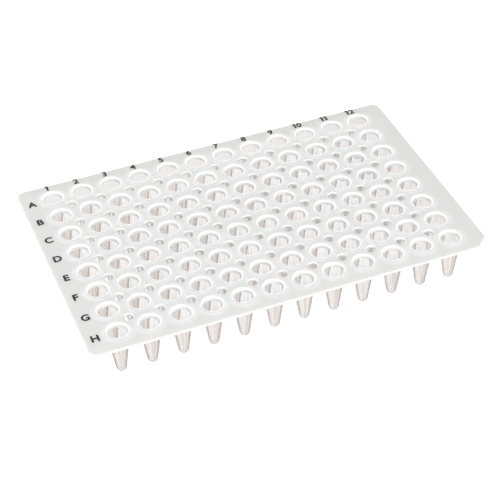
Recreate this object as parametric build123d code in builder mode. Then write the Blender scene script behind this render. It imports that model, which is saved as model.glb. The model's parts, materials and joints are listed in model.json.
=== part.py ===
from build123d import *
import os
from math import asin, atan2, cos, hypot, sin

# A low-profile, non-skirted 96-well plate, moulded in one piece in clear polypropylene.
#
# A thin flat deck carries a grid of thin-walled tapered wells that hang below it and stand on their own
# tips. Each well opens through a low raised rim, and a cap plugs into the straight seat at its top.
# Round holes pierce the deck between every four wells, and one corner of the deck is cut off to show
# which way round the plate goes.
#
# Frame: millimetres, +Z up, the tips on z = 0, the origin under the middle of the deck. +X runs along
# the rows, from column 1 to column 12, and +Y runs across them, towards row A.

# Grid of wells
COLUMNS = 12
ROWS = 8
PITCH = 9.0

# Deck
END_MARGIN = 9.5  # from the centres of the end columns to the ends of the deck
SIDE_MARGIN = 6.8  # from the centres of the outer rows to the sides of the deck
DECK_THICKNESS = 0.9
CORNER_RADIUS = 2.4
INDEX_CUT = 3.6  # legs of the cut corner, beside the last column and the front row
EDGE_ROUND = 0.2

# Holes between the wells
HOLE_RADIUS = 1.3
HOLE_BEVEL = 0.3  # leg of the bevel at the top of each hole

# Wells
STAND_HEIGHT = 13.8  # from the tips to the top of the deck
WALL = 0.32
BORE_RADIUS = 2.7
SEAT_DEPTH = 2.4  # the straight seat for a cap's plug, measured down from the top of the deck
TIP_RADIUS = 0.95  # outer round between the cone and the flat of the tip
TIP_FLAT = 0.5  # radius of the flat that a well stands on

# Rim round each mouth
RIM_HEIGHT = 0.45
MOUTH_BEVEL = 0.4  # how far the mouth widens from the bore up to the top of the rim
RIM_LAND = 0.3  # width of the flat sealing land
RIM_FLARE = 0.35  # how far the foot of the rim spreads out over the deck
FLARE_HEIGHT = 0.2
OVERLAP = 0.05  # how far a well's flared foot reaches into the deck, so that the two fuse

# Derived
DECK_LENGTH = (COLUMNS - 1) * PITCH + 2 * END_MARGIN
DECK_WIDTH = (ROWS - 1) * PITCH + 2 * SIDE_MARGIN
DECK_BOTTOM = STAND_HEIGHT - DECK_THICKNESS
LIP = STAND_HEIGHT + RIM_HEIGHT
SEAT_END = STAND_HEIGHT - SEAT_DEPTH
OUTER_RADIUS = BORE_RADIUS + WALL
RIM_INNER = BORE_RADIUS + MOUTH_BEVEL
RIM_OUTER = RIM_INNER + RIM_LAND


def cone_angle(radius, height, arc_x, arc_z, arc_radius):
    """Angle from the vertical, in radians, of the line that leaves (radius, height) and touches an arc."""
    across, up = radius - arc_x, height - arc_z
    return atan2(across, up) - asin(arc_radius / hypot(across, up))


# The cone below the seat runs straight into the round of the tip, outside and inside alike
TAPER = cone_angle(OUTER_RADIUS, SEAT_END, TIP_FLAT, TIP_RADIUS, TIP_RADIUS)


def tip_point(arc_radius):
    """Where the cone meets the round of the tip, for a round of this radius about the tip's arc centre."""
    return TIP_FLAT + arc_radius * cos(TAPER), TIP_RADIUS - arc_radius * sin(TAPER)


# One well with its rim: a thin-walled section turned about its own axis
with BuildPart() as well:
    with BuildSketch(Plane.XZ):
        with BuildLine():
            # outside, from the tip up to the deck
            outer_tip = tip_point(TIP_RADIUS)
            outer_neck = (OUTER_RADIUS, STAND_HEIGHT - OVERLAP)
            Line((0, 0), (TIP_FLAT, 0))
            TangentArc((TIP_FLAT, 0), outer_tip, tangent=(1, 0))
            Polyline(outer_tip, (OUTER_RADIUS, SEAT_END), outer_neck)
            # the rim
            reach = RIM_FLARE * OVERLAP / FLARE_HEIGHT
            Polyline(
                outer_neck,
                (RIM_OUTER + RIM_FLARE + reach, STAND_HEIGHT - OVERLAP),
                (RIM_OUTER, STAND_HEIGHT + FLARE_HEIGHT),
                (RIM_OUTER, LIP),
                (RIM_INNER, LIP),
                (BORE_RADIUS, STAND_HEIGHT),
            )
            # inside, from the deck down to the floor of the well
            inner_tip = tip_point(TIP_RADIUS - WALL)
            Polyline((BORE_RADIUS, STAND_HEIGHT), (BORE_RADIUS, SEAT_END), inner_tip)
            TangentArc((TIP_FLAT, WALL), inner_tip, tangent=(1, 0))
            Polyline((TIP_FLAT, WALL), (0, WALL), (0, 0))
        make_face()
    revolve(axis=Axis.Z)

with BuildPart() as well_plate:
    # the deck, pierced where the wells go through it; their walls close over the edges of these holes
    with BuildSketch(Plane.XY.offset(DECK_BOTTOM)) as outline:
        Rectangle(DECK_LENGTH, DECK_WIDTH)
        front_corners = outline.vertices().group_by(Axis.Y)[0].sort_by(Axis.X)
        back_corners = outline.vertices().group_by(Axis.Y)[-1]
        fillet(back_corners + front_corners[:1], radius=CORNER_RADIUS)
        index_corner = outline.vertices().group_by(Axis.Y)[0].sort_by(Axis.X)[-1]
        chamfer(index_corner, length=INDEX_CUT)
        with GridLocations(PITCH, PITCH, COLUMNS, ROWS):
            Circle(BORE_RADIUS + WALL / 2, mode=Mode.SUBTRACT)
    extrude(amount=DECK_THICKNESS)
    flat_faces = well_plate.faces().sort_by(Axis.Z)
    for flat_face in (flat_faces[0], flat_faces[-1]):
        fillet(flat_face.outer_wire().edges(), radius=EDGE_ROUND)
    with Locations((0, 0, STAND_HEIGHT)):
        with GridLocations(PITCH, PITCH, COLUMNS - 1, ROWS - 1):
            CounterSinkHole(HOLE_RADIUS, HOLE_RADIUS + HOLE_BEVEL)
    with GridLocations(PITCH, PITCH, COLUMNS, ROWS):
        add(well.part)

os.makedirs("parts", exist_ok=True)
well_plate.part.label = "well_plate"
export_step(well_plate.part, "parts/well_plate.step")
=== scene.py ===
"""A 96-well plate in natural polypropylene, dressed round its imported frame.

The plate is one moulding: a thin frosted deck with a grid of glossy, thin-walled tapered wells, a raised
rim round each mouth and a small hole between every four wells. Row letters and column numbers are printed
on the deck. Everything is in metres, in the frame's own axes: +X along the rows from column 1, +Y across
them towards row A, +Z up, the tips on z = 0.
"""

import json
from math import asin, atan2, cos, hypot, pi, radians, sin, sqrt

import bmesh
import bpy
from mathutils import Matrix, Vector


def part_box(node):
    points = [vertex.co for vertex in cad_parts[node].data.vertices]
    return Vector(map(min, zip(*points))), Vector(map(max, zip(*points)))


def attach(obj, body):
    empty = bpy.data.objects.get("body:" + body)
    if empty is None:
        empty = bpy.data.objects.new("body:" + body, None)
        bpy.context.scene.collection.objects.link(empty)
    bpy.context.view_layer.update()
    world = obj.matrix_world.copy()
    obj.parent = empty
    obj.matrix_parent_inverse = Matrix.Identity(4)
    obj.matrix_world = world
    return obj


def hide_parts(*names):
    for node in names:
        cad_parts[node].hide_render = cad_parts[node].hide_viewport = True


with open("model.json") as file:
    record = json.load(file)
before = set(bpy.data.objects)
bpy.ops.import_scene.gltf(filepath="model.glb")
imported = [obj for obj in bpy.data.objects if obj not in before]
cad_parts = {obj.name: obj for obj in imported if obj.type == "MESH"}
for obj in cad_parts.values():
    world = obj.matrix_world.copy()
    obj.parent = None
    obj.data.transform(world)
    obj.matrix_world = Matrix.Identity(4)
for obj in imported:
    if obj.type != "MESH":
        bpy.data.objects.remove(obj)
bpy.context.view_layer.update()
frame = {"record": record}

bl_info = {
    "name": "Well Plate",
    "version": (1, 0, 0),
    "blender": (4, 5, 0),
    "location": "View3D > Sidebar > Well Plate",
    "description": "Builds a 96-well plate with its printed labels, and a plain stage to show it on",
    "category": "Add Mesh",
}

MM = 0.001
PLATE_LOW, PLATE_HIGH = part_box("well_plate")
CAP_SEAT = next(mount for mount in frame["record"]["mounts"] if mount["name"] == "cap_seat")["dims"]
POLISHED = "polished"
WHITE = (1.0, 1.0, 1.0, 1.0)

# Fineness of the mesh
FLARE_STEPS = 3
RIM_EDGE_STEPS = 2
INNER_TIP_STEPS = 3
OUTER_TIP_STEPS = 4
CORNER_STEPS = 8
DECK_EDGE_STEPS = 3
SHARP_ANGLE = radians(40.0)

# Distances within which points count as one, or as lying at the same height
PLATE_WELD = 0.002 * MM
LABEL_WELD = 0.0005 * MM
SAME_HEIGHT = 0.01 * MM

# Two directions on the deck, a little off the frame's axes: towards the last column, and towards row H
SIDEWAYS = (0.94, -0.34, 0.0)
FORWARDS = (-0.34, -0.94, 0.0)

# How the marks in the wells change round a well, and from well to well
MARKS_AROUND = (2.2, 2.2, 0.0)
MARKS_APART = (5.3, 7.1, 0.0)

# Where masks begin and where they are full
NOISE_RANGE = (0.3, 0.7)  # of a noise, which seldom leaves it
MARK_EDGE = (0.54, 0.46)  # of the marks' noise
OFF_DECK = (0.02 * MM, 0.08 * MM)  # of the height above or below the deck's top
# the next range sets where the rims' outsides take their painted shade
RIM_FRONT_SHADE = (-0.3, 0.7)  # of the share towards the front
MOUTH_MARKS = (-0.8, -0.5)  # of the share towards the last column
FAINTER_MARKS = (0.35, 0.1)
CONE_MARKS = (-0.2, 0.0)
EDGE_ON_SHADE = (0.5, 0.75)  # of how far a wall is turned away
# the last column's painted shade builds up over the next number of columns
END_SHADE_COLUMNS = 1.75  # how many columns the last one's tint takes to build up
OTHER_ROWS = (0.4, 0.6)  # of the way from the back row to the next
WORN_PLACES = (0.45, 0.75)  # of the ink's clouding

# What the clouding adds to a roughness, at the least and at the most
UNEVEN_DECK = (-0.04, 0.05)
UNEVEN_WELLS = (0.0, 0.05)

INK_ROUGHNESS = (0.5, 0.7)
INK_GLOSS = 0.15  # where a plain surface has 0.5

REFRACTION = 1.49
SENSOR_WIDTH = 36.0
NEAREST_SEEN = 0.01


# ---------- Sizes and colours ----------

def property_kind(make, **settings):
    """A function that makes properties of one kind from their name, description and default."""
    def made(name, description, default):
        return make(name=name, description=description, default=default, **settings)
    return made


length = property_kind(bpy.props.FloatProperty, min=0.0, precision=5, unit="LENGTH", subtype="DISTANCE")
count = property_kind(bpy.props.IntProperty, min=1)
share = property_kind(bpy.props.FloatProperty, min=0.0, max=1.0, subtype="FACTOR")
angle = property_kind(bpy.props.FloatProperty, unit="ROTATION", subtype="ANGLE")
watts = property_kind(bpy.props.FloatProperty, min=0.0, unit="POWER")
focal_length = property_kind(bpy.props.FloatProperty, unit="CAMERA")
colour = property_kind(bpy.props.FloatVectorProperty, size=3, min=0.0, max=1.0, subtype="COLOR")
point = property_kind(bpy.props.FloatVectorProperty, size=3, unit="LENGTH", subtype="TRANSLATION")


class PlateSizes(bpy.types.PropertyGroup):
    """Sizes of the moulded plate."""

    columns: count("Columns", "Wells in a row", 12)
    rows: count("Rows", "Wells in a column", 8)
    pitch: length("Pitch", "Distance between the centres of neighbouring wells", 9.0 * MM)
    deck_length: length("Deck Length", "Length along the rows", PLATE_HIGH[0] - PLATE_LOW[0])
    deck_width: length("Deck Width", "Width across the rows", PLATE_HIGH[1] - PLATE_LOW[1])
    deck_thickness: length("Deck Thickness", "Thickness of the deck", 0.9 * MM)
    corner_radius: length("Corner Radius", "Round of three of the deck's corners", 2.4 * MM)
    index_cut: length("Index Cut", "Legs of the cut corner", 3.6 * MM)
    edge_round: length("Edge Round", "Round of the deck's edges", 0.2 * MM)
    hole_radius: length("Hole Radius", "Radius of the holes between the wells", 1.3 * MM)
    hole_bevel: length("Hole Bevel", "Bevel at the top of those holes", 0.3 * MM)
    wall: length("Wall", "Thickness of a well's wall", 0.32 * MM)
    bore_radius: length("Bore Radius", "Radius of the cap's seat", CAP_SEAT["r_mm"] * MM)
    seat_depth: length("Seat Depth", "Depth of the cap's seat in a well", CAP_SEAT["length_mm"] * MM)
    tip_radius: length("Tip Radius", "Outer round between the cone and the flat of the tip", 0.95 * MM)
    tip_flat: length("Tip Flat", "Radius of the flat that a well stands on", 0.5 * MM)
    rim_height: length("Rim Height", "Height of the rims above the deck", 0.45 * MM)
    rim_land: length("Rim Land", "Width of a rim's flat top", 0.3 * MM)
    rim_edge: length("Rim Edge", "Round of a rim's edges", 0.08 * MM)
    mouth_bevel: length("Mouth Bevel", "How far a mouth widens up to its rim", 0.4 * MM)
    rim_flare: length("Rim Flare", "How far the foot of a rim spreads over the deck", 0.35 * MM)
    flare_height: length("Flare Height", "Height of that spread foot", 0.2 * MM)
    segments: count("Segments", "Sides that stand for each circle", 36)


class LabelSizes(bpy.types.PropertyGroup):
    """Sizes and places of the printed labels."""

    letter_height: length("Letter Height", "Height of the row letters", 2.62 * MM)
    number_height: length("Number Height", "Height of the column numbers", 2.35 * MM)
    letter_offset: length("Letter Offset", "From the first column's centre out to the row letters", 6.45 * MM)
    number_offset: length("Number Offset", "From row A's centre out to the column numbers", 5.6 * MM)
    number_shift: length("Number Shift", "How far the numbers stand left of their columns", 0.35 * MM)
    letter_drop: length("Letter Drop", "How far the letters stand in front of their rows", 0.35 * MM)
    # where a weight makes a character's outlines cross, check_closed stops the script
    weight: share("Weight", "How much bolder than the font the labels are, as a share of their size", 0.032)
    spacing: share("Spacing", "Gap between two digits, as a share of their height", 0.14)
    film: length("Film", "Thickness of the ink", 0.012 * MM)


class Finish(bpy.types.PropertyGroup):
    """Colours and surfaces."""

    deck: colour("Deck", "Colour of the deck at its margins", (0.645, 0.645, 0.633))
    # partly an uneven milky tone, partly a painted glow: the deck is painted lighter near the rims
    glow_haze: colour("Haze", "Colour of the deck where it is milkier, among the wells", (0.77, 0.775, 0.785))
    haze_reach: length("Haze Reach", "How far that milkier plastic reaches from a rim", 1.4 * MM)
    # painted glow: the rims, bevels, edges and bore walls get a near-white colour that stands in for light
    # coming through the plastic
    rim: colour("Rim", "Colour of the mouths and of the insides of the rims", (0.97, 0.97, 0.97))
    # painted shade: the rims' outsides are darker on their side towards the front
    shaded_rim_foot: colour("Rim Foot", "Colour of the rims' outsides towards the front", (0.68, 0.68, 0.69))
    rim_foot_fade: length("Rim Foot Fade", "Over what distance that colour ends on the deck", 0.3 * MM)
    clear: colour("Clear Plastic", "Tint of the thin walls at the tops of the wells", (0.995, 0.99, 0.985))
    # painted shade: the back row's walls are tinted darker, for the shade seen through them
    shaded_clear_back: colour("Clear Plastic, Back", "That tint in the back row", (0.925, 0.897, 0.887))
    # painted shade: the last column's walls are tinted darker and warmer
    shaded_clear_end: colour("Clear Plastic, End", "That tint in the last column", (0.85, 0.82, 0.80))
    cone: colour("Cones", "Tint of the thin walls of the cones", (0.972, 0.946, 0.927))
    # painted refraction: streaks that stand in for what is seen through the walls
    refraction_streak: colour("Streak", "Tint of the marks drawn down the insides of the mouths", (0.935, 0.914, 0.903))
    # painted shade: streaks on the cones' side towards the last column
    cone_shade_streak: colour("Cone Streak", "Tint of the marks drawn down the cones", (0.85, 0.81, 0.785))
    # painted reflection: dark surroundings seen at grazing angles, partly also the longer path through the
    # tinted wall
    edge: colour("Edge", "Tint of the walls where they are seen edge on", (0.3, 0.15, 0.11))
    cone_fade: length("Cone Fade", "Over what height the mouths' tint turns into the cones'", 2.0 * MM)
    ink: colour("Ink", "Colour of the labels", (0.012, 0.012, 0.013))
    worn_ink: colour("Worn Ink", "Colour of the labels where the ink is thin", (0.04, 0.04, 0.0425))
    deck_roughness: share("Deck Roughness", "Roughness of the frosted deck", 0.42)
    rim_roughness: share("Rim Roughness", "Roughness of the rims", 0.12)
    well_roughness: share("Well Roughness", "Roughness of the polished wells", 0.02)
    deck_transmission: share("Deck Transmission", "How much light the deck lets straight through", 0.15)
    milkiness: length("Milkiness", "How far light spreads inside the milky plastic", 1.4 * MM)
    well_transmission: share("Well Transmission", "How much light the walls let straight through", 0.96)
    relief: share("Relief", "How strongly the frost and the marks turn the light", 0.3)
    frost_depth: length("Frost Depth", "Depth of the deck's fine frost", 0.03 * MM)
    mark_depth: length("Mark Depth", "Depth of the marks drawn down the wells", 0.02 * MM)
    faint_marks: share("Faint Marks", "Strength of a mouth's marks towards the last column", 0.65)
    ink_relief: share("Ink Relief", "How strongly the grain of the ink turns the light", 0.2)
    ink_depth: length("Ink Depth", "Depth of the grain of the ink", 0.01 * MM)


class Studio(bpy.types.PropertyGroup):
    """The stage, its lights and the camera."""

    floor_size: length("Floor Size", "Width of the floor", 4.0)
    floor_gap: length("Floor Gap", "How far the floor lies below the wells' tips", 0.02 * MM)
    floor_return: share("Floor Return", "How much of the light on it the floor gives back", 0.6)
    floor_glow: share("Floor Glow", "How brightly the floor shines to the camera", 0.78)
    through_return: share("Through Return", "The floor's return where the plate lets it be seen", 0.05)
    through_glow: share("Through Glow", "The floor's glow where the plate lets it be seen", 0.93)
    surroundings: share("Surroundings", "Strength of the even light from all round", 0.7)
    key_size: length("Key Size", "Width of the main lamp", 0.5)
    key_power: watts("Key Power", "Power of the main lamp", 4.2)
    key_place: point("Key Place", "Where the main lamp hangs", (-0.45, 0.35, 0.9))
    front_size: length("Front Size", "Width of the lamp in front", 0.9)
    front_power: watts("Front Power", "Power of the lamp in front", 11.5)
    front_place: point("Front Place", "Where the lamp in front hangs", (0.1, -1.05, 0.62))
    azimuth: angle("Azimuth", "Where the camera stands round the plate, from the front", radians(-20.06))
    elevation: angle("Elevation", "How far the camera looks down", radians(39.56))
    roll: angle("Roll", "Tilt of the camera about its own axis", radians(-2.2))
    distance: length("Distance", "From the camera to the point it looks at", 442.5 * MM)
    aim_left: length("Aim Left", "How far left of the plate's centre that point lies", 4.74 * MM)
    aim_front: length("Aim Front", "How far in front of the plate's centre that point lies", 14.23 * MM)
    aim_low: length("Aim Low", "How far below the tops of the rims that point lies", 0.15 * MM)
    shade: share("Shade", "How dark the soft shadow behind the plate is", 0.42)
    shade_left: length("Shade Left", "From the plate's left end to that shadow's", 7.0 * MM)
    shade_right: length("Shade Right", "How far that shadow reaches past the plate's right end", 4.0 * MM)
    shade_back: length("Shade Back", "How far that shadow reaches behind the plate", 13.5 * MM)
    shade_front: length("Shade Front", "How far under the plate that shadow starts", 8.0 * MM)
    shade_soft: length("Shade Softness", "Width of that shadow's soft edge", 6.0 * MM)
    lens: focal_length("Lens", "Focal length on a 36 mm sensor", 112.8)


# ---------- Node trees ----------

def add_node(tree, kind, inputs=None, **settings):
    """Adds a node. Each input is fed by a socket, or else holds a plain value."""
    node = tree.nodes.new(kind)
    for name, value in settings.items():
        setattr(node, name, value)
    for key, value in (inputs or {}).items():
        if isinstance(value, bpy.types.NodeSocket):
            tree.links.new(value, node.inputs[key])
        else:
            node.inputs[key].default_value = value
    return node


def maths(tree, operation, *values):
    """The result of a Math node."""
    return add_node(tree, "ShaderNodeMath", dict(enumerate(values)), operation=operation).outputs[0]


def product(tree, first, *others):
    """Several values multiplied together."""
    for other in others:
        first = maths(tree, "MULTIPLY", first, other)
    return first


def vector_maths(tree, operation, *values, result="Vector"):
    """The vector that comes out of a Vector Math node, or the number, which is called Value."""
    node = add_node(tree, "ShaderNodeVectorMath", dict(enumerate(values)), operation=operation)
    return node.outputs[result]


def parts_of(tree, vector):
    """The X, Y and Z of a vector."""
    return add_node(tree, "ShaderNodeSeparateXYZ", {"Vector": vector}).outputs


def ramp(tree, value, low, high, start=0.0, end=1.0):
    """A value mapped from one range to another and held at its ends."""
    inputs = {"Value": value, "From Min": low, "From Max": high, "To Min": start, "To Max": end}
    return add_node(tree, "ShaderNodeMapRange", inputs, clamp=True).outputs["Result"]


def blend_colours(tree, factor, first, second):
    """A colour between two others, each a socket or plain values."""
    node = add_node(tree, "ShaderNodeMix", {}, data_type="RGBA")
    sockets = {socket.identifier: socket for socket in node.inputs}
    tree.links.new(factor, sockets["Factor_Float"])
    for name, value in (("A_Color", first), ("B_Color", second)):
        if isinstance(value, bpy.types.NodeSocket):
            tree.links.new(value, sockets[name])
        else:
            sockets[name].default_value = (*value, 1.0)
    return next(socket for socket in node.outputs if socket.identifier == "Result_Color")


def joined(tree, *parts):
    """Several geometries as one."""
    node = tree.nodes.new("GeometryNodeJoinGeometry")
    for part in parts:
        tree.links.new(part, node.inputs[0])
    return node.outputs[0]


def sweep_round(tree, section, radius, segments):
    """Turns a section's object, drawn as (radius, height), into a round surface about the origin."""
    # a sweep along a level circle takes a section's X outwards and its Y downwards
    shift = add_node(tree, "ShaderNodeCombineXYZ", {"X": product(tree, radius, -1.0)})
    edges = add_node(tree, "GeometryNodeObjectInfo", {"Object": section}).outputs["Geometry"]
    moved = add_node(
        tree, "GeometryNodeTransform",
        {"Geometry": edges, "Translation": shift.outputs[0], "Scale": (1.0, -1.0, 1.0)},
    )
    drawn = add_node(tree, "GeometryNodeMeshToCurve", {"Mesh": moved.outputs[0]})
    circle = add_node(tree, "GeometryNodeCurvePrimitiveCircle", {"Resolution": segments, "Radius": radius})
    path = add_node(tree, "GeometryNodeSetCurveNormal", {"Curve": circle.outputs["Curve"]}, mode="Z_UP")
    swept = add_node(
        tree, "GeometryNodeCurveToMesh", {"Curve": path.outputs[0], "Profile Curve": drawn.outputs[0]},
    )
    return add_node(
        tree, "GeometryNodeSetShadeSmooth", {"Geometry": swept.outputs[0], "Shade Smooth": True},
    ).outputs[0]


def heights(tree):
    """The height of each part of a geometry."""
    return parts_of(tree, tree.nodes.new("GeometryNodeInputPosition").outputs[0])["Z"]


def polished_below(tree, surface, height):
    """Marks the faces of a surface that lie below a height as polished."""
    below = maths(tree, "LESS_THAN", heights(tree), height)
    return add_node(
        tree, "GeometryNodeStoreNamedAttribute", {"Geometry": surface, "Name": POLISHED, "Value": below},
        data_type="BOOLEAN", domain="FACE",
    ).outputs[0]


def on_grid(tree, instance, columns, rows, pitch):
    """Copies of one thing at every point of a grid about the origin."""
    along = product(tree, maths(tree, "SUBTRACT", columns, 1.0), pitch)
    across = product(tree, maths(tree, "SUBTRACT", rows, 1.0), pitch)
    grid = add_node(
        tree, "GeometryNodeMeshGrid",
        {"Size X": along, "Size Y": across, "Vertices X": columns, "Vertices Y": rows},
    )
    placed = add_node(
        tree, "GeometryNodeInstanceOnPoints", {"Points": grid.outputs["Mesh"], "Instance": instance},
    )
    return placed.outputs[0]


def pierced_face(tree, outline, circles, height):
    """A flat face at a height, with an outline and a grid of round holes for each of the circles."""
    curves = [outline]
    for radius, segments, columns, rows, pitch in circles:
        circle = add_node(
            tree, "GeometryNodeCurvePrimitiveCircle", {"Resolution": segments, "Radius": radius},
        )
        curves.append(on_grid(tree, circle.outputs["Curve"], columns, rows, pitch))
    drawn = add_node(tree, "GeometryNodeRealizeInstances", {"Geometry": joined(tree, *curves)})
    filled = add_node(tree, "GeometryNodeFillCurve", {"Curve": drawn.outputs[0]}, mode="TRIANGLES")
    lift = add_node(tree, "ShaderNodeCombineXYZ", {"Z": height})
    return add_node(
        tree, "GeometryNodeTransform", {"Geometry": filled.outputs[0], "Translation": lift.outputs[0]},
    ).outputs[0]


def edge_loop(tree, band, height):
    """The curve round a band of faces where its open edge lies at a height."""
    # an open edge has one face beside it, and the others have two
    faces_beside = tree.nodes.new("GeometryNodeInputMeshEdgeNeighbors").outputs[0]
    is_open = maths(tree, "LESS_THAN", faces_beside, 1.5)
    away = maths(tree, "ABSOLUTE", maths(tree, "SUBTRACT", heights(tree), height))
    here = product(tree, maths(tree, "LESS_THAN", away, SAME_HEIGHT), is_open)
    return add_node(tree, "GeometryNodeMeshToCurve", {"Mesh": band, "Selection": here}).outputs[0]


def plate_tree():
    """The tree that repeats the wells and the holes over the plate and fills the deck between them."""
    tree = bpy.data.node_groups.new("moulded_plate", "GeometryNodeTree")
    tree.is_modifier = True
    kinds = {
        "Geometry": ["Deck Edge"],
        "Object": ["Well Section", "Hole Section"],
        "Int": ["Columns", "Rows", "Segments"],
        "Float": [
            "Pitch", "Mouth Radius", "Neck Radius", "Hole Top Radius", "Hole Radius",
            "Deck Top", "Deck Bottom", "Weld",
        ],
        "Material": ["Frosted", "Clear"],
    }
    for kind, names in kinds.items():
        for name in names:
            tree.interface.new_socket(name=name, in_out="INPUT", socket_type="NodeSocket" + kind)
    tree.interface.new_socket(name="Plate", in_out="OUTPUT", socket_type="NodeSocketGeometry")
    given = tree.nodes.new("NodeGroupInput").outputs
    columns, rows, pitch, segments = (given[name] for name in ("Columns", "Rows", "Pitch", "Segments"))
    gaps_along, gaps_across = maths(tree, "SUBTRACT", columns, 1.0), maths(tree, "SUBTRACT", rows, 1.0)

    surfaces = [given["Deck Edge"]]
    well = sweep_round(tree, given["Well Section"], given["Mouth Radius"], segments)
    well = polished_below(tree, well, given["Deck Bottom"])
    surfaces.append(on_grid(tree, well, columns, rows, pitch))
    hole = sweep_round(tree, given["Hole Section"], given["Hole Top Radius"], segments)
    surfaces.append(on_grid(tree, hole, gaps_along, gaps_across, pitch))

    faces = (("Deck Top", "Mouth Radius", "Hole Top Radius"), ("Deck Bottom", "Neck Radius", "Hole Radius"))
    for height_name, well_name, hole_name in faces:
        outline = edge_loop(tree, given["Deck Edge"], given[height_name])
        circles = (
            (given[well_name], segments, columns, rows, pitch),
            (given[hole_name], segments, gaps_along, gaps_across, pitch),
        )
        surfaces.append(pierced_face(tree, outline, circles, given[height_name]))

    solid = add_node(tree, "GeometryNodeRealizeInstances", {"Geometry": joined(tree, *surfaces)})
    welded = add_node(
        tree, "GeometryNodeMergeByDistance", {"Geometry": solid.outputs[0], "Distance": given["Weld"]},
    )
    frosted = add_node(
        tree, "GeometryNodeSetMaterial", {"Geometry": welded.outputs[0], "Material": given["Frosted"]},
    )
    polished = add_node(tree, "GeometryNodeInputNamedAttribute", {"Name": POLISHED}, data_type="BOOLEAN")
    finished = add_node(
        tree, "GeometryNodeSetMaterial",
        {
            "Geometry": frosted.outputs[0],
            "Selection": polished.outputs["Attribute"],
            "Material": given["Clear"],
        },
    )
    add_node(tree, "NodeGroupOutput", {"Plate": finished.outputs[0]})
    return tree


# ---------- Finishes ----------

def shader_group(name, values, results):
    """A new shader node group that takes a Vector and some values. Returns it with its inputs' sockets."""
    group = bpy.data.node_groups.new(name, "ShaderNodeTree")
    group.interface.new_socket(name="Vector", in_out="INPUT", socket_type="NodeSocketVector")
    for socket, value in values.items():
        made = group.interface.new_socket(name=socket, in_out="INPUT", socket_type="NodeSocketFloat")
        made.default_value = value
    for socket in results:
        group.interface.new_socket(name=socket, in_out="OUTPUT", socket_type="NodeSocketFloat")
    return group, group.nodes.new("NodeGroupInput").outputs


def moulding_grain():
    """Shared effect: the fine frost of a moulded or printed surface, and its faint uneven clouding."""
    group, given = shader_group(
        "moulding_grain", {"Grain Scale": 9000.0, "Cloud Scale": 380.0}, ["Grain", "Clouding"],
    )
    grain = add_node(
        group, "ShaderNodeTexNoise",
        {"Vector": given["Vector"], "Scale": given["Grain Scale"], "Detail": 3.0, "Roughness": 0.6},
    )
    clouds = add_node(
        group, "ShaderNodeTexNoise",
        {"Vector": given["Vector"], "Scale": given["Cloud Scale"], "Detail": 2.0, "Roughness": 0.5},
    )
    add_node(group, "NodeGroupOutput", {"Grain": grain.outputs["Fac"], "Clouding": clouds.outputs["Fac"]})
    return group


def shared_grain():
    """The moulding's grain, which is built once and used again."""
    return bpy.data.node_groups.get("moulding_grain") or moulding_grain()


def well_places(sizes):
    """Shared effect: where each point lies round its own well, and the marks that run down the walls."""
    group, given = shader_group(
        "well_places", {"Mark Scale": 1.9, "Change Upwards": 14.0},
        ["From Axis", "Height", "Side", "Front", "Marks"],
    )
    pitch, columns, rows = sizes.pitch, sizes.columns, sizes.rows
    # the number of the well each point belongs to, and where the point lies from that well's axis
    counted = vector_maths(group, "MULTIPLY", given["Vector"], (1.0 / pitch, 1.0 / pitch, 0.0))
    counted = vector_maths(group, "ADD", counted, (columns / 2, rows / 2, 0.0))
    cell = vector_maths(group, "MAXIMUM", vector_maths(group, "FLOOR", counted), (0.0, 0.0, 0.0))
    cell = vector_maths(group, "MINIMUM", cell, (columns - 1.0, rows - 1.0, 0.0))
    within = vector_maths(group, "SUBTRACT", vector_maths(group, "SUBTRACT", counted, cell), (0.5, 0.5, 0.0))
    flat = vector_maths(group, "MULTIPLY", within, (pitch, pitch, 0.0))
    direction = vector_maths(group, "NORMALIZE", flat)
    height = parts_of(group, given["Vector"])["Z"]
    # a noise that changes quickly round a well and slowly up it makes long upright marks
    rise = product(group, height, given["Change Upwards"])
    up = add_node(group, "ShaderNodeCombineXYZ", {"Z": rise}).outputs[0]
    around = vector_maths(group, "MULTIPLY", direction, MARKS_AROUND)
    apart = vector_maths(group, "MULTIPLY", cell, MARKS_APART)
    where = vector_maths(group, "ADD", vector_maths(group, "ADD", around, up), apart)
    marks = add_node(
        group, "ShaderNodeTexNoise",
        {"Vector": where, "Scale": given["Mark Scale"], "Detail": 2.0, "Roughness": 0.5},
    )
    add_node(
        group, "NodeGroupOutput",
        {
            "From Axis": vector_maths(group, "LENGTH", flat, result="Value"),
            "Height": height,
            "Side": vector_maths(group, "DOT_PRODUCT", direction, SIDEWAYS, result="Value"),
            "Front": vector_maths(group, "DOT_PRODUCT", direction, FORWARDS, result="Value"),
            "Marks": marks.outputs["Fac"],
        },
    )
    return group


def emptied_tree(owner):
    """The node tree of a new material or world, with nothing in it yet."""
    owner.use_nodes = True
    owner.node_tree.nodes.clear()
    return owner.node_tree


def object_place(tree):
    """Where each point lies, in the piece's own coordinates."""
    return tree.nodes.new("ShaderNodeTexCoord").outputs["Object"]


def new_material(name):
    """An empty material. Returns it with its tree, its Principled shader and its object coordinates."""
    material = bpy.data.materials.new(name)
    tree = emptied_tree(material)
    shader = tree.nodes.new("ShaderNodeBsdfPrincipled")
    add_node(tree, "ShaderNodeOutputMaterial", {"Surface": shader.outputs[0]})
    return material, tree, shader, object_place(tree)


def dress(tree, shader, tint, roughness, relief):
    """Feeds a Principled shader its colour, its roughness and the relief that turns the light."""
    tree.links.new(tint, shader.inputs["Base Color"])
    tree.links.new(roughness, shader.inputs["Roughness"])
    height, strength, depth = relief
    bump = add_node(tree, "ShaderNodeBump", {"Height": height, "Strength": strength, "Distance": depth})
    tree.links.new(bump.outputs[0], shader.inputs["Normal"])


def effect(tree, group, inputs):
    """What comes out of a shared effect, fed with some inputs."""
    return add_node(tree, "ShaderNodeGroup", inputs, node_tree=group).outputs


def uneven(tree, clouding, roughness, changes):
    """A roughness that follows the clouding between its least and its greatest change."""
    return ramp(tree, clouding, *NOISE_RANGE, *(roughness + change for change in changes))


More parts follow.
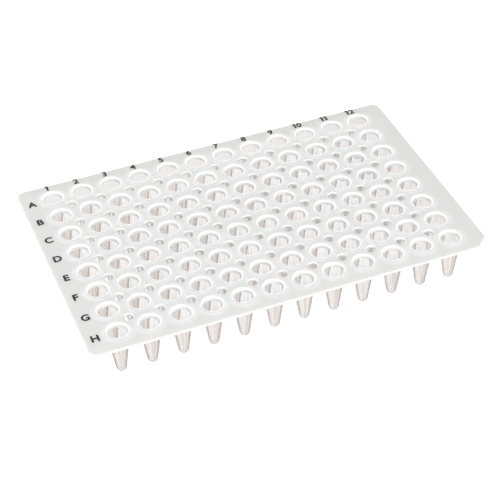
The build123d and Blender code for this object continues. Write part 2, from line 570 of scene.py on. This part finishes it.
def frosted_polypropylene(finish, sizes, grain, wells):
    """The deck, frosted and a little milky, with glossier rims painted brighter, a painted glow round them
    and painted shade on their outsides towards the front.
    """
    material, tree, shader, place = new_material("frosted_polypropylene")
    surface = effect(tree, grain, {"Vector": place})
    cell = effect(tree, wells, {"Vector": place})
    from_axis = cell["From Axis"]
    deck_top, _ = deck_levels(sizes)
    _, rim_inner, rim_outer, foot = mouth_radii(sizes)

    # what isn't level with the deck's top is as glossy as a rim and painted as bright as one, a painted glow:
    # the rims, bevels and edges
    off_top = maths(tree, "ABSOLUTE", maths(tree, "SUBTRACT", cell["Height"], deck_top))
    raised = ramp(tree, off_top, *OFF_DECK)
    # painted glow and uneven tone: the deck is lighter near the rims, by as much as the clouding allows
    near_rim = ramp(tree, from_axis, foot + finish.haze_reach, foot)
    glow_haze = product(tree, near_rim, ramp(tree, surface["Clouding"], *NOISE_RANGE, 0.5, 1.0))
    deck_tint = blend_colours(tree, glow_haze, finish.deck, finish.glow_haze)
    # painted shade: the outsides of the rims darken towards the front, the side away from the main lamp
    shaded_flank = product(
        tree,
        ramp(tree, from_axis, rim_inner, rim_outer),
        ramp(tree, from_axis, foot + finish.rim_foot_fade, foot),
        ramp(tree, cell["Front"], *RIM_FRONT_SHADE),
    )
    rim_glow_tint = blend_colours(tree, shaded_flank, finish.rim, finish.shaded_rim_foot)
    tint = blend_colours(tree, raised, deck_tint, rim_glow_tint)

    clouded = uneven(tree, surface["Clouding"], finish.deck_roughness, UNEVEN_DECK)
    roughness = ramp(tree, raised, 0.0, 1.0, clouded, finish.rim_roughness)
    frost = product(tree, surface["Grain"], maths(tree, "SUBTRACT", 1.0, raised))
    dress(tree, shader, tint, roughness, (frost, finish.relief, finish.frost_depth))
    shader.inputs["IOR"].default_value = REFRACTION
    shader.inputs["Transmission Weight"].default_value = finish.deck_transmission
    shader.inputs["Subsurface Weight"].default_value = 1.0
    shader.inputs["Subsurface Radius"].default_value = (1.0, 1.0, 1.0)
    shader.inputs["Subsurface Scale"].default_value = finish.milkiness
    return material


def clear_polypropylene(finish, sizes, grain, wells):
    """The thin walls of the wells, polished and clear: faint marks run down them in relief, and their tint
    has painted streaks of refraction and shade.
    """
    material, tree, shader, place = new_material("clear_polypropylene")
    surface = effect(tree, grain, {"Vector": place})
    cell = effect(tree, wells, {"Vector": place})
    marks, side = cell["Marks"], cell["Side"]
    on_deck = parts_of(tree, place)
    deck_top, _ = deck_levels(sizes)
    seat_end = deck_top - sizes.seat_depth
    pitch = sizes.pitch
    last_column, back_row = outer_wells(sizes)

    # 0 in the mouths and 1 on the cones; 1 in the last column; and 0 in the back row, from halfway to it
    hanging = ramp(tree, cell["Height"], seat_end, seat_end - finish.cone_fade)
    end_shade = ramp(tree, on_deck["X"], last_column - END_SHADE_COLUMNS * pitch, last_column)
    other_rows = ramp(tree, on_deck["Y"], *(back_row - part * pitch for part in OTHER_ROWS))

    # in a mouth the marks, a painted refraction of what lies behind the wall, are missing on the side of the
    # first column and fainter on the side of the last; a cone has them as painted shade on the side of the
    # last, and the back row has none in its mouths and few on its cones
    fainter = ramp(tree, side, *FAINTER_MARKS, finish.faint_marks, 1.0)
    in_mouth = maths(tree, "MINIMUM", ramp(tree, side, *MOUTH_MARKS), fainter)
    painted_streaks = maths(
        tree, "ADD",
        product(tree, maths(tree, "SUBTRACT", other_rows, hanging), in_mouth),
        product(tree, hanging, ramp(tree, side, *CONE_MARKS)),
    )
    painted_streaks = product(tree, painted_streaks, ramp(tree, marks, *MARK_EDGE))

    # painted shade: the back row's walls are tinted darker, for the shade seen through them
    plain = blend_colours(tree, other_rows, finish.shaded_clear_back, finish.clear)
    # painted shade: the last column's walls are tinted darker and warmer, for the shade seen through them
    plain = blend_colours(tree, end_shade, plain, finish.shaded_clear_end)
    plain = blend_colours(tree, hanging, plain, finish.cone)
    refraction_streak = blend_colours(tree, hanging, finish.refraction_streak, finish.cone_shade_streak)
    tint = blend_colours(tree, painted_streaks, plain, refraction_streak)
    # painted reflection: the cones darken edge on, for dark surroundings seen at grazing angles and partly
    # for the longer path through the wall
    facing = add_node(tree, "ShaderNodeLayerWeight", {"Blend": 0.5}).outputs["Facing"]
    grazing_shade = product(tree, hanging, ramp(tree, facing, *EDGE_ON_SHADE))
    tint = blend_colours(tree, grazing_shade, tint, finish.edge)

    roughness = uneven(tree, surface["Clouding"], finish.well_roughness, UNEVEN_WELLS)
    drawn = product(tree, marks, other_rows)
    dress(tree, shader, tint, roughness, (drawn, finish.relief, finish.mark_depth))
    shader.inputs["IOR"].default_value = REFRACTION
    shader.inputs["Transmission Weight"].default_value = finish.well_transmission
    return material


def printed_ink(finish, grain):
    """Matt black ink, laid a little unevenly."""
    material, tree, shader, place = new_material("printed_ink")
    surface = effect(tree, grain, {"Vector": place, "Cloud Scale": 900.0})
    worn = ramp(tree, surface["Clouding"], *WORN_PLACES)
    tint = blend_colours(tree, worn, finish.ink, finish.worn_ink)
    roughness = ramp(tree, surface["Grain"], *NOISE_RANGE, *INK_ROUGHNESS)
    dress(tree, shader, tint, roughness, (surface["Grain"], finish.ink_relief, finish.ink_depth))
    shader.inputs["Specular IOR Level"].default_value = INK_GLOSS
    return material


# ---------- Shapes ----------

def deck_levels(sizes):
    """The heights of the deck's top and of its underside."""
    deck_top = PLATE_HIGH[2] - sizes.rim_height
    return deck_top, deck_top - sizes.deck_thickness


def outer_wells(sizes):
    """How far the last column and the back row, which is row A, lie from the plate's middle."""
    return (sizes.columns - 1) / 2 * sizes.pitch, (sizes.rows - 1) / 2 * sizes.pitch


def mouth_radii(sizes):
    """The radii of a bore, of the inner and outer edges of its rim's flat top, and of the rim's foot."""
    rim_inner = sizes.bore_radius + sizes.mouth_bevel
    rim_outer = rim_inner + sizes.rim_land
    return sizes.bore_radius, rim_inner, rim_outer, rim_outer + sizes.rim_flare


def turned(start, end, steps):
    """Angles from one to another in equal steps, both ends included."""
    return [start + (end - start) * step / steps for step in range(steps + 1)]


def arc(centre, radius, *turning):
    """Points along an arc of a section, from one angle to another in equal steps."""
    return [(centre[0] + radius * cos(turn), centre[1] + radius * sin(turn)) for turn in turned(*turning)]


def link(obj):
    """Puts an object in the scene."""
    bpy.context.scene.collection.objects.link(obj)
    return obj


def discard(obj):
    """Removes a helper object and its data."""
    data = obj.data
    bpy.data.objects.remove(obj)
    if isinstance(data, bpy.types.Mesh):
        bpy.data.meshes.remove(data)
    else:
        bpy.data.curves.remove(data)


def evaluated_mesh(obj):
    """A new mesh of an object as its modifiers leave it."""
    ready = obj.evaluated_get(bpy.context.evaluated_depsgraph_get())
    return bpy.data.meshes.new_from_object(ready)


def section_object(name, chains):
    """An object of bare edges that draws a section as (radius, height) points."""
    mesh = bpy.data.meshes.new(name)
    points, edges = [], []
    for chain in chains:
        edges += [(len(points) + at, len(points) + at + 1) for at in range(len(chain) - 1)]
        points += [(radius, height, 0.0) for radius, height in chain]
    mesh.from_pydata(points, edges, [])
    return link(bpy.data.objects.new(name, mesh))


def well_section(sizes):
    """A well's inside with its rim, from the deck down to the floor, and its outside down to the tip."""
    lip, edge = PLATE_HIGH[2], sizes.rim_edge
    deck_top, deck_bottom = deck_levels(sizes)
    seat_end = deck_top - sizes.seat_depth
    bore, rim_inner, rim_outer, _ = mouth_radii(sizes)
    outer = bore + sizes.wall
    # the cone runs straight from the seat into the round of the tip
    across, up = outer - sizes.tip_flat, seat_end - sizes.tip_radius
    taper = atan2(across, up) - asin(sizes.tip_radius / hypot(across, up))
    tip_centre = (sizes.tip_flat, sizes.tip_radius)
    bevel_slope = atan2(sizes.rim_height, sizes.mouth_bevel)

    flare = [
        (rim_outer + sizes.rim_flare * (1.0 - sin(turn)), deck_top + sizes.flare_height * (1.0 - cos(turn)))
        for turn in turned(0.0, pi / 2, FLARE_STEPS)
    ]
    inside = (
        flare
        + arc((rim_outer - edge, lip - edge), edge, 0.0, pi / 2, RIM_EDGE_STEPS)
        + arc((rim_inner + edge, lip - edge), edge, pi / 2, pi / 2 + bevel_slope, RIM_EDGE_STEPS)
        + [(bore, deck_top), (bore, deck_bottom), (bore, seat_end)]
        + arc(tip_centre, sizes.tip_radius - sizes.wall, -taper, -pi / 2, INNER_TIP_STEPS)
        + [(0.0, sizes.wall)]
    )
    outside = (
        [(outer, deck_bottom), (outer, seat_end)]
        + arc(tip_centre, sizes.tip_radius, -taper, -pi / 2, OUTER_TIP_STEPS)
        + [(0.0, 0.0)]
    )
    return section_object("well_section", [inside, outside])


def hole_section(sizes):
    """The bevel and the wall of a hole between the wells."""
    deck_top, deck_bottom = deck_levels(sizes)
    radius, bevel = sizes.hole_radius, sizes.hole_bevel
    return section_object(
        "hole_section", [[(radius + bevel, deck_top), (radius, deck_top - bevel), (radius, deck_bottom)]],
    )


def deck_outline(sizes, inset):
    """The deck's outline, moved in by an inset: three round corners and the cut one at the front right."""
    half_length, half_width = sizes.deck_length / 2 - inset, sizes.deck_width / 2 - inset
    radius = sizes.corner_radius - inset
    # the cut side moves in as far as the others do, which shortens its legs
    cut = sizes.index_cut - inset * (2.0 - sqrt(2.0))
    points = [(half_length - cut, -half_width), (half_length, -half_width + cut)]
    for side, end, start in ((1, 1, 0.0), (-1, 1, pi / 2), (-1, -1, pi)):
        centre = (side * (half_length - radius), end * (half_width - radius))
        points += arc(centre, radius, start, start + pi / 2, CORNER_STEPS)
    return points


def deck_edge(name, sizes):
    """An object of the band of faces round the deck's edge, rounded at its top and bottom."""
    deck_top, deck_bottom = deck_levels(sizes)
    radius = sizes.edge_round
    turns = turned(0.0, pi / 2, DECK_EDGE_STEPS)
    levels = [(radius * (1 - sin(turn)), deck_top - radius * (1 - cos(turn))) for turn in turns]
    levels += [(radius * (1 - cos(turn)), deck_bottom + radius * (1 - sin(turn))) for turn in turns]
    build = bmesh.new()
    loops = [[build.verts.new((x, y, z)) for x, y in deck_outline(sizes, inset)] for inset, z in levels]
    for upper, lower in zip(loops, loops[1:]):
        for at in range(len(upper)):
            build.faces.new((upper[at - 1], lower[at - 1], lower[at], upper[at]))
    mesh = bpy.data.meshes.new(name)
    build.to_mesh(mesh)
    build.free()
    mesh.shade_smooth()
    return link(bpy.data.objects.new(name, mesh))


def check_closed(build, name):
    """Raises an error where a mesh in the making isn't closed."""
    open_edges = sum(1 for edge in build.edges if not edge.is_manifold)
    if open_edges:
        raise RuntimeError(f"{name} has {open_edges} open edges")


def solid_mesh(name, obj):
    """The evaluated mesh of an object, which has to be closed, with its faces turned outwards."""
    mesh = evaluated_mesh(obj)
    mesh.name = name
    build = bmesh.new()
    build.from_mesh(mesh)
    bmesh.ops.recalc_face_normals(build, faces=build.faces)
    check_closed(build, name)
    if build.calc_volume(signed=True) < 0.0:
        bmesh.ops.reverse_faces(build, faces=build.faces)
    build.to_mesh(mesh)
    build.free()
    return mesh


def character_curve(character, weight):
    """A flat filled curve of one character. The 1 is drawn here, because the font's has no flag."""
    if character != "1":
        curve = bpy.data.curves.new("character", "FONT")
        curve.body, curve.offset = character, weight
        return curve
    curve = bpy.data.curves.new("character", "CURVE")
    curve.dimensions, curve.fill_mode = "2D", "BOTH"
    points = [(0.16, 0.0), (0.4, 0.0), (0.4, 1.0), (0.2, 1.0), (0.0, 0.86), (0.0, 0.66), (0.16, 0.76)]
    spline = curve.splines.new("POLY")
    spline.points.add(len(points) - 1)
    for corner, (x, y) in zip(spline.points, points):
        corner.co = (x, y, 0.0, 1.0)
    spline.use_cyclic_u = True
    return curve


def character_mesh(character, weight):
    """A solid of one character, one unit high and thick, that starts at the origin. Returns its width too."""
    curve = character_curve(character, weight)
    curve.extrude = 0.5
    obj = link(bpy.data.objects.new("character", curve))
    bpy.context.view_layer.update()
    mesh = evaluated_mesh(obj)
    discard(obj)
    lows = [min(vertex.co[axis] for vertex in mesh.vertices) for axis in range(3)]
    highs = [max(vertex.co[axis] for vertex in mesh.vertices) for axis in range(3)]
    size = 1.0 / (highs[1] - lows[1])
    mesh.transform(Matrix.Diagonal((size, size, 1.0, 1.0)) @ Matrix.Translation([-low for low in lows]))
    return mesh, (highs[0] - lows[0]) * size


def printed_labels(name, labels, deck_top, labelling, material):
    """One piece of several labels, each given as (text, height, x, y), printed on the deck's top."""
    build = bmesh.new()
    for text, height, x, y in labels:
        characters = [character_mesh(character, labelling.weight) for character in text]
        gap = labelling.spacing * height
        left = x - (sum(width for _, width in characters) * height + gap * (len(text) - 1)) / 2
        for mesh, width in characters:
            place = Matrix.Translation((left, y - height / 2, deck_top))
            mesh.transform(place @ Matrix.Diagonal((height, height, labelling.film, 1.0)))
            build.from_mesh(mesh)
            bpy.data.meshes.remove(mesh)
            left += width * height + gap
    bmesh.ops.remove_doubles(build, verts=build.verts, dist=LABEL_WELD)
    check_closed(build, name)
    bmesh.ops.recalc_face_normals(build, faces=build.faces)
    mesh = bpy.data.meshes.new(name)
    build.to_mesh(mesh)
    build.free()
    mesh.materials.append(material)
    piece = link(bpy.data.objects.new(name, mesh))
    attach(piece, "root")
    return piece


# ---------- Stage ----------

def light_path(tree):
    """Whether the camera sees something directly, and whether it sees it through or in another thing."""
    path = tree.nodes.new("ShaderNodeLightPath").outputs
    return path["Is Camera Ray"], maths(tree, "MAXIMUM", path["Is Glossy Ray"], path["Is Transmission Ray"])


def soft_shadow(tree, studio):
    """1 away from the plate, and less on the part of the floor that its soft shadow covers."""
    on_floor = parts_of(tree, object_place(tree))
    soft = studio.shade_soft
    edges = (
        ("X", PLATE_LOW[0] + studio.shade_left, soft),
        ("X", PLATE_HIGH[0] + studio.shade_right, -soft),
        ("Y", PLATE_HIGH[1] - studio.shade_front, soft),
        ("Y", PLATE_HIGH[1] + studio.shade_back, -soft),
    )
    dark = studio.shade
    for axis, start, width in edges:
        dark = product(tree, ramp(tree, on_floor[axis], start, start + width), dark)
    return maths(tree, "SUBTRACT", 1.0, dark)


def floor_material(studio):
    """White floor with the plate's shadow on it, which the clear plastic and its gloss see nearly plain."""
    material = bpy.data.materials.new("white_floor")
    tree = emptied_tree(material)
    direct, through = light_path(tree)
    shadow = soft_shadow(tree, studio)
    returned = ramp(tree, through, 0.0, 1.0, studio.floor_return, studio.through_return)
    lit = add_node(tree, "ShaderNodeBsdfDiffuse", {"Color": product(tree, returned, shadow)})
    glow = maths(
        tree, "ADD",
        product(tree, direct, studio.floor_glow, shadow),
        product(tree, through, studio.through_glow),
    )
    glowing = add_node(tree, "ShaderNodeEmission", {"Color": WHITE, "Strength": glow})
    both = add_node(tree, "ShaderNodeAddShader", {0: lit.outputs[0], 1: glowing.outputs[0]})
    add_node(tree, "ShaderNodeOutputMaterial", {"Surface": both.outputs[0]})
    return material


def studio_world(studio):
    """White surroundings to look at, directly or through the plastic, and soft even light from them."""
    world = bpy.data.worlds.new("studio")
    tree = emptied_tree(world)
    strength = ramp(
        tree, maths(tree, "MAXIMUM", *light_path(tree)), 0.0, 1.0, studio.surroundings, 1.0,
    )
    backdrop = add_node(tree, "ShaderNodeBackground", {"Color": WHITE, "Strength": strength})
    add_node(tree, "ShaderNodeOutputWorld", {"Surface": backdrop.outputs[0]})
    return world


def softbox(name, size, power, place, aim):
    """An area light at a place, turned to a point."""
    lamp = bpy.data.lights.new(name, "AREA")
    lamp.shape, lamp.size, lamp.energy = "SQUARE", size, power
    obj = link(bpy.data.objects.new(name, lamp))
    obj.location = place
    obj.rotation_euler = (Vector(aim) - Vector(place)).to_track_quat("-Z", "Y").to_euler()
    return obj


# ---------- Operators ----------

class WELLPLATE_OT_moulded_plate(bpy.types.Operator):
    """Build the plate: the deck, its wells with their rims, and the holes between them"""

    bl_idname = "well_plate.moulded_plate"
    bl_label = "Moulded Plate"

    def execute(self, context):
        sizes, finish = context.scene.well_plate, context.scene.well_plate_finish
        grain, places = shared_grain(), well_places(sizes)
        name = "moulded_plate"
        piece, well, hole = deck_edge(name, sizes), well_section(sizes), hole_section(sizes)
        deck_top, deck_bottom = deck_levels(sizes)
        *_, foot = mouth_radii(sizes)
        values = {
            "Well Section": well,
            "Hole Section": hole,
            "Columns": sizes.columns,
            "Rows": sizes.rows,
            "Segments": sizes.segments,
            "Pitch": sizes.pitch,
            "Mouth Radius": foot,
            "Neck Radius": sizes.bore_radius + sizes.wall,
            "Hole Top Radius": sizes.hole_radius + sizes.hole_bevel,
            "Hole Radius": sizes.hole_radius,
            "Deck Top": deck_top,
            "Deck Bottom": deck_bottom,
            "Weld": PLATE_WELD,
            "Frosted": frosted_polypropylene(finish, sizes, grain, places),
            "Clear": clear_polypropylene(finish, sizes, grain, places),
        }
        modifier = piece.modifiers.new("plate", "NODES")
        modifier.node_group = plate_tree()
        for item in modifier.node_group.interface.items_tree:
            if item.name in values:
                modifier[item.identifier] = values[item.name]
        mesh = solid_mesh(name, piece)
        mesh.set_sharp_from_angle(angle=SHARP_ANGLE)
        piece.modifiers.remove(modifier)
        piece.data = mesh
        for helper in (well, hole):
            discard(helper)
        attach(piece, "root")
        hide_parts("well_plate")
        return {"FINISHED"}


class WELLPLATE_OT_labels(bpy.types.Operator):
    """Print the row letters and the column numbers on the deck"""

    bl_idname = "well_plate.labels"
    bl_label = "Printed Labels"

    def execute(self, context):
        sizes, labelling = context.scene.well_plate, context.scene.well_plate_labels
        material = printed_ink(context.scene.well_plate_finish, shared_grain())
        deck_top, _ = deck_levels(sizes)
        last_column, first_row = outer_wells(sizes)
        first_column = -last_column
        letters = [
            (
                chr(ord("A") + row), labelling.letter_height, first_column - labelling.letter_offset,
                first_row - row * sizes.pitch - labelling.letter_drop,
            )
            for row in range(sizes.rows)
        ]
        numbers = [
            (
                str(column + 1), labelling.number_height,
                first_column + column * sizes.pitch - labelling.number_shift,
                first_row + labelling.number_offset,
            )
            for column in range(sizes.columns)
        ]
        printed_labels("row_letters", letters, deck_top, labelling, material)
        printed_labels("column_numbers", numbers, deck_top, labelling, material)
        return {"FINISHED"}


class WELLPLATE_OT_stage(bpy.types.Operator):
    """Set the stage: a white floor, soft lights and the camera"""

    bl_idname = "well_plate.stage"
    bl_label = "Stage"

    def execute(self, context):
        scene, studio = context.scene, context.scene.well_plate_studio
        half = studio.floor_size / 2
        corners = [(-half, -half), (half, -half), (half, half), (-half, half)]
        mesh = bpy.data.meshes.new("floor")
        mesh.from_pydata([(x, y, -studio.floor_gap) for x, y in corners], [], [(0, 1, 2, 3)])
        mesh.materials.append(floor_material(studio))
        link(bpy.data.objects.new("floor", mesh))
        scene.world = studio_world(studio)
        scene.view_settings.view_transform = "Standard"
        aim = (0.0, 0.0, PLATE_HIGH[2])
        softbox("key_light", studio.key_size, studio.key_power, studio.key_place, aim)
        front = softbox("front_light", studio.front_size, studio.front_power, studio.front_place, aim)
        # the lamp in front lights the wells' far walls and isn't mirrored in the deck
        front.visible_glossy = False

        camera = link(bpy.data.objects.new("camera", bpy.data.cameras.new("camera")))
        camera.data.lens, camera.data.sensor_width = studio.lens, SENSOR_WIDTH
        camera.data.clip_start = NEAREST_SEEN
        target = Vector((-studio.aim_left, -studio.aim_front, PLATE_HIGH[2] - studio.aim_low))
        camera.matrix_world = (
            Matrix.Translation(target)
            @ Matrix.Rotation(studio.azimuth, 4, "Z")
            @ Matrix.Rotation(pi / 2 - studio.elevation, 4, "X")
            @ Matrix.Rotation(studio.roll, 4, "Z")
            @ Matrix.Translation((0.0, 0.0, studio.distance))
        )
        scene.camera = camera
        return {"FINISHED"}


class VIEW3D_PT_well_plate(bpy.types.Panel):
    """The well plate's sizes and steps in the sidebar"""

    bl_label = "Well Plate"
    bl_space_type = "VIEW_3D"
    bl_region_type = "UI"
    bl_category = "Well Plate"

    def draw(self, context):
        layout = self.layout
        for operator in OPERATORS:
            layout.operator(operator.bl_idname)
        for holder in SETTINGS:
            group = getattr(context.scene, holder)
            box = layout.box()
            for name in group.bl_rna.properties.keys():
                if name not in ("rna_type", "name"):
                    box.prop(group, name)


OPERATORS = (WELLPLATE_OT_moulded_plate, WELLPLATE_OT_labels, WELLPLATE_OT_stage)
SETTINGS = {
    "well_plate": PlateSizes,
    "well_plate_labels": LabelSizes,
    "well_plate_finish": Finish,
    "well_plate_studio": Studio,
}


def register():
    """Registers the classes and hangs their settings on the scene."""
    for cls in (*SETTINGS.values(), *OPERATORS, VIEW3D_PT_well_plate):
        bpy.utils.register_class(cls)
    for holder, group in SETTINGS.items():
        setattr(bpy.types.Scene, holder, bpy.props.PointerProperty(type=group))


def unregister():
    """Takes away what register added."""
    for holder in SETTINGS:
        delattr(bpy.types.Scene, holder)
    for cls in (VIEW3D_PT_well_plate, *OPERATORS, *SETTINGS.values()):
        bpy.utils.unregister_class(cls)


def main():
    """Builds the plate, its labels and the stage."""
    register()
    bpy.ops.well_plate.moulded_plate()
    bpy.ops.well_plate.labels()
    bpy.ops.well_plate.stage()


if __name__ == "__main__":
    main()
